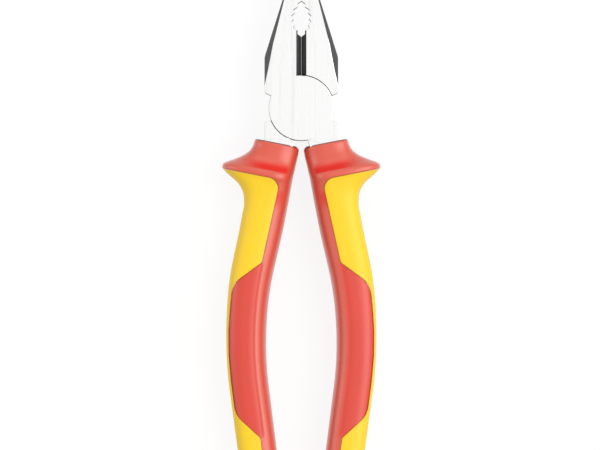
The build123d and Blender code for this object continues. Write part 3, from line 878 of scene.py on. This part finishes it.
def flank_slab(side, face):
    """Block outside the sloping flank of a jaw: side is -1 for the left one, face is 1 for the front."""
    lower, upper = [Vector((side * x, y, face * z)) * MM for x, y, z in FLANK_POINTS]
    fall = Vector((side * FLANK_FALL[0], FLANK_FALL[1], face * FLANK_FALL[2]))
    along = (upper - lower).normalized()
    normal = along.cross(fall).normalized()
    if normal.z * face < 0:
        normal.negate()
    across = normal.cross(along)
    place = Matrix((along, across, normal)).transposed().to_4x4()
    place.translation = lower + Vector((0, 0, MID_PLANE))
    length, width, thickness = [size * MM for size in FLANK_SLAB]
    place = place @ Matrix.Translation((FLANK_SLAB_SHIFT * MM, 0, thickness / 2))
    work = bmesh.new()
    bmesh.ops.create_cube(work, size=1, matrix=place @ Matrix.Diagonal((length, width, thickness, 1)))
    bmesh.ops.recalc_face_normals(work, faces=work.faces)
    return written(work, bpy.data.meshes.new("flank_slab"))


def peened_copy(node):
    """Copy of the rivet whose head rims are driven out to their seats and up to the ground faces."""
    mesh = merged_copy(node)
    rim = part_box(node)[1].x - RIVET_RIM * MM
    for vert in mesh.vertices:
        reach = vert.co.xy.length
        if reach > rim:
            vert.co.xy *= (reach + PEENED_SPREAD * MM) / reach
            vert.co.z += math.copysign(PEENED_RISE * MM, vert.co.z - MID_PLANE)
    return mesh


def in_cutter(verts, half_width):
    """Whether all these vertices lie in the wire cutter, and this close to its cutting edges."""
    start, end = CUTTER_SPAN
    return all(abs(v.co.x) < half_width * MM and start * MM < v.co.y < end * MM for v in verts)


def broken_edge_copy(mesh, width):
    """The mesh with its sharp edges broken; a face mask tells how bright each face is worn, and in the
    cutter how much painted light its bevels get.
    """
    work = bmesh.new()
    work.from_mesh(mesh)
    sharp = [
        edge
        for edge in work.edges
        if edge.is_manifold
        and edge.calc_face_angle() > math.radians(STEEL_CREASE)
        and min(vert.co.xy.length for vert in edge.verts) > RIVET_SEAT_RADIUS
        and not in_cutter(edge.verts, CUTTING_EDGE_HALF_WIDTH)
    ]
    layer = work.faces.layers.float.new("broken_edge")
    result = bmesh.ops.bevel(
        work, geom=sharp, offset=width, segments=2, profile=0.5, affect="EDGES", clamp_overlap=False
    )
    for face in result["faces"]:
        face[layer] = 1.0
    # painted light: the cutter's bevels are made lighter, standing in for light reaching into the slot
    for face in work.faces:
        if in_cutter(face.verts, CUTTER_HALF_WIDTH):
            face[layer] = CUTTER_WEAR_AND_LIGHT
    return written(work, mesh)


def shade_steel(mesh, material):
    """Shade a steel mesh, with its ground faces flat."""
    shade(mesh, material, STEEL_CREASE)
    for face in mesh.polygons:
        if abs(face.normal.z) > GROUND_FACING:
            face.use_smooth = False


# ---------------------------------------------------------------- operators
class PLIERS_OT_forgings(bpy.types.Operator):
    """Build the two forged halves with their broken edges and two-tone steel"""

    bl_idname = "pliers.forgings"
    bl_label = "Forged Halves"

    def execute(self, context):
        finish = context.scene.pliers_steel
        material = steel_material("forged_steel", finish, shared_groups())
        for node, body, side in (("front_half", "front_lever", -1), ("back_half", "back_lever", 1)):
            mesh = broken_edge_copy(merged_copy(node), finish.edge_width)
            for face in (1, -1):
                mesh = boolean(mesh, flank_slab(side, face), "DIFFERENCE")
            shade_steel(mesh, material)
            piece = new_object(node + "_steel", mesh)
            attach(piece, body)
            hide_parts(node)
        return {"FINISHED"}


class PLIERS_OT_rivet(bpy.types.Operator):
    """Build the rivet, peened tight into its seats and ground flush"""

    bl_idname = "pliers.rivet"
    bl_label = "Rivet"

    def execute(self, context):
        mesh = peened_copy("rivet")
        shade_steel(mesh, steel_material("rivet_steel", context.scene.pliers_steel, shared_groups()))
        piece = new_object("peened_rivet", mesh)
        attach(piece, "back_lever")
        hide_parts("rivet")
        return {"FINISHED"}


class PLIERS_OT_sleeves(bpy.types.Operator):
    """Give the hidden inner sleeves their insulating plastic"""

    bl_idname = "pliers.sleeves"
    bl_label = "Inner Sleeves"

    def execute(self, context):
        colour = context.scene.pliers_colours.sleeve
        material = plastic_material(
            "sleeve_plastic", colour, shared_groups(), roughness=0.5, grain_size=0.0005
        )
        for node in ("right_sleeve", "left_sleeve"):
            dress_node(node, material)
        return {"FINISHED"}


class PLIERS_OT_grips(bpy.types.Operator):
    """Sweep both grips and part them into red shells and yellow pads"""

    bl_idname = "pliers.grips"
    bl_label = "Grips"

    def execute(self, context):
        sizes, colours = context.scene.pliers_grip, context.scene.pliers_colours
        groups = shared_groups()
        red = shell_material(colours, groups)
        yellow = plastic_material("yellow_pads", colours.pads, groups, roughness=0.42, grain_size=0.0004)
        pad_corners = PAD_UPPER_CORNERS + PAD_STRIP_CORNERS + PAD_LOWER_CORNERS
        low, high = MID_PLANE - PAD_BLOCK_REACH * MM, MID_PLANE + PAD_BLOCK_REACH * MM
        form = grip_form(sizes, red)
        sunk = form.copy()
        sink_field(sunk, sizes)
        pad_block = prism_mesh(rounded_outline(pad_corners, 0, sizes), low, high)
        inner_block = prism_mesh(rounded_outline(pad_corners, sizes.seam_gap, sizes), low, high)
        shell = boolean(sunk, pad_block, "DIFFERENCE")
        pads = boolean(form, inner_block, "INTERSECT")
        marks = {
            "palm_field": field_share(shell, sizes),
            "recess": painted_reflection_share(shell, sizes),
            "collar_lip": lip_shadow_share(shell, sizes),
        }
        for side, body in (("right", "front_lever"), ("left", "back_lever")):
            shell_mesh = shell.copy() if side == "right" else turned_over(shell)
            pads_mesh = pads.copy() if side == "right" else turned_over(pads)
            shell_piece = finished_grip(side + "_grip_shell", shell_mesh, red, marks)
            pads_piece = finished_grip(side + "_grip_pads", pads_mesh, yellow, {})
            for piece, node, slot in (
                (shell_piece, side + "_shell", "red_shell"),
                (pads_piece, side + "_pads", "yellow_pads"),
            ):
                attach(piece, body)
                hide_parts(node)
        return {"FINISHED"}


class PLIERS_OT_studio(bpy.types.Operator):
    """Set up the camera, the pale floor, the white surroundings and the soft lamps"""

    bl_idname = "pliers.studio"
    bl_label = "Studio"

    def execute(self, context):
        studio = context.scene.pliers_studio
        context.scene.view_settings.view_transform = "Standard"
        make_camera(studio)
        make_floor(studio)
        make_world(studio)
        make_lamps(studio)
        return {"FINISHED"}


# ---------------------------------------------------------------- studio
def make_camera(studio):
    """Camera straight above the middle of the frame, looking down."""
    camera = bpy.data.cameras.new("camera")
    camera.sensor_width = SENSOR_WIDTH
    camera.lens = SENSOR_WIDTH * studio.camera_height / studio.view_width
    holder = new_object("camera", camera)
    holder.location = (*studio.view_centre, HEAD_HIGH.z + studio.camera_height)
    bpy.context.scene.camera = holder


def make_floor(studio):
    """Pale floor that shows white to the camera and still takes the object's shadow."""
    half, level = FLOOR_HALF_WIDTH, CAD_BOX[0][2]
    corners = [(-half, -half, level), (half, -half, level), (half, half, level), (-half, half, level)]
    mesh = bpy.data.meshes.new("floor")
    mesh.from_pydata(corners, [], [(0, 1, 2, 3)])
    material = bpy.data.materials.new("floor")
    tree = empty_tree(material)
    seen = seen_rays(tree)
    colour = mix_colour(tree, seen, studio.floor, shaded(studio.floor, studio.floor_shadow))
    paint = add_node(tree, "ShaderNodeBsdfDiffuse", {"Color": colour})
    strength = math_node(tree, "MULTIPLY", seen, FLOOR_GLOW)
    glow = add_node(tree, "ShaderNodeEmission", {"Strength": strength})
    both = add_node(tree, "ShaderNodeAddShader", {0: paint.outputs[0], 1: glow.outputs[0]})
    add_node(tree, "ShaderNodeOutputMaterial", {"Surface": both.outputs[0]})
    mesh.materials.append(material)
    new_object("floor", mesh)


def make_world(studio):
    """Even surroundings that light softly, and look plain white in the background and in reflections."""
    world = bpy.data.worlds.new("studio")
    tree = empty_tree(world)
    strength = math_node(tree, "MULTIPLY_ADD", seen_rays(tree), 1.0 - studio.sky, studio.sky)
    white = add_node(tree, "ShaderNodeBackground", {"Color": (1, 1, 1, 1), "Strength": strength})
    add_node(tree, "ShaderNodeOutputWorld", {"Surface": white.outputs[0]})
    bpy.context.scene.world = world


def make_lamp(name, place, target, size, power):
    """Soft rectangular lamp that faces the target and stays out of sight."""
    lamp = bpy.data.lights.new(name, "AREA")
    lamp.shape = "RECTANGLE"
    lamp.size, lamp.size_y = size
    lamp.energy = power
    holder = new_object(name, lamp)
    holder.location = place
    holder.rotation_euler = (Vector(target) - Vector(place)).to_track_quat("-Z", "Y").to_euler()
    holder.visible_camera = False


def make_lamps(studio):
    """Lamps on the right, on the left and beyond the jaws, all aimed at the middle of the frame."""
    target = (*studio.view_centre, MID_PLANE)
    for name, place, size, setting in LAMPS:
        make_lamp(name, place, target, size, getattr(studio, setting))


# ---------------------------------------------------------------- panel and registration
STEPS = ("pliers.studio", "pliers.forgings", "pliers.rivet", "pliers.sleeves", "pliers.grips")


class PLIERS_PT_build(bpy.types.Panel):
    """Lists the build steps and their settings"""

    bl_label = "Pliers"
    bl_idname = "PLIERS_PT_build"
    bl_space_type = "VIEW_3D"
    bl_region_type = "UI"
    bl_category = "Pliers"

    def draw(self, context):
        for step in STEPS:
            self.layout.operator(step)
        for settings in ("pliers_grip", "pliers_colours", "pliers_steel", "pliers_studio"):
            box = self.layout.box()
            group = getattr(context.scene, settings)
            for name in group.bl_rna.properties.keys():
                if name not in ("rna_type", "name"):
                    box.prop(group, name)


SETTINGS = {
    "pliers_grip": GripSizes,
    "pliers_colours": GripColours,
    "pliers_steel": SteelFinish,
    "pliers_studio": StudioSettings,
}
OPERATORS = (PLIERS_OT_forgings, PLIERS_OT_rivet, PLIERS_OT_sleeves, PLIERS_OT_grips, PLIERS_OT_studio)


def register():
    for group in SETTINGS.values():
        bpy.utils.register_class(group)
    for operator in OPERATORS:
        bpy.utils.register_class(operator)
    bpy.utils.register_class(PLIERS_PT_build)
    for name, group in SETTINGS.items():
        setattr(bpy.types.Scene, name, PointerProperty(type=group))


def unregister():
    for name in SETTINGS:
        delattr(bpy.types.Scene, name)
    bpy.utils.unregister_class(PLIERS_PT_build)
    for operator in reversed(OPERATORS):
        bpy.utils.unregister_class(operator)
    for group in reversed(SETTINGS.values()):
        bpy.utils.unregister_class(group)


def main():
    """Register the add-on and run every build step."""
    register()
    for step in STEPS:
        family, name = step.split(".")
        getattr(getattr(bpy.ops, family), name)()


if __name__ == "__main__":
    main()
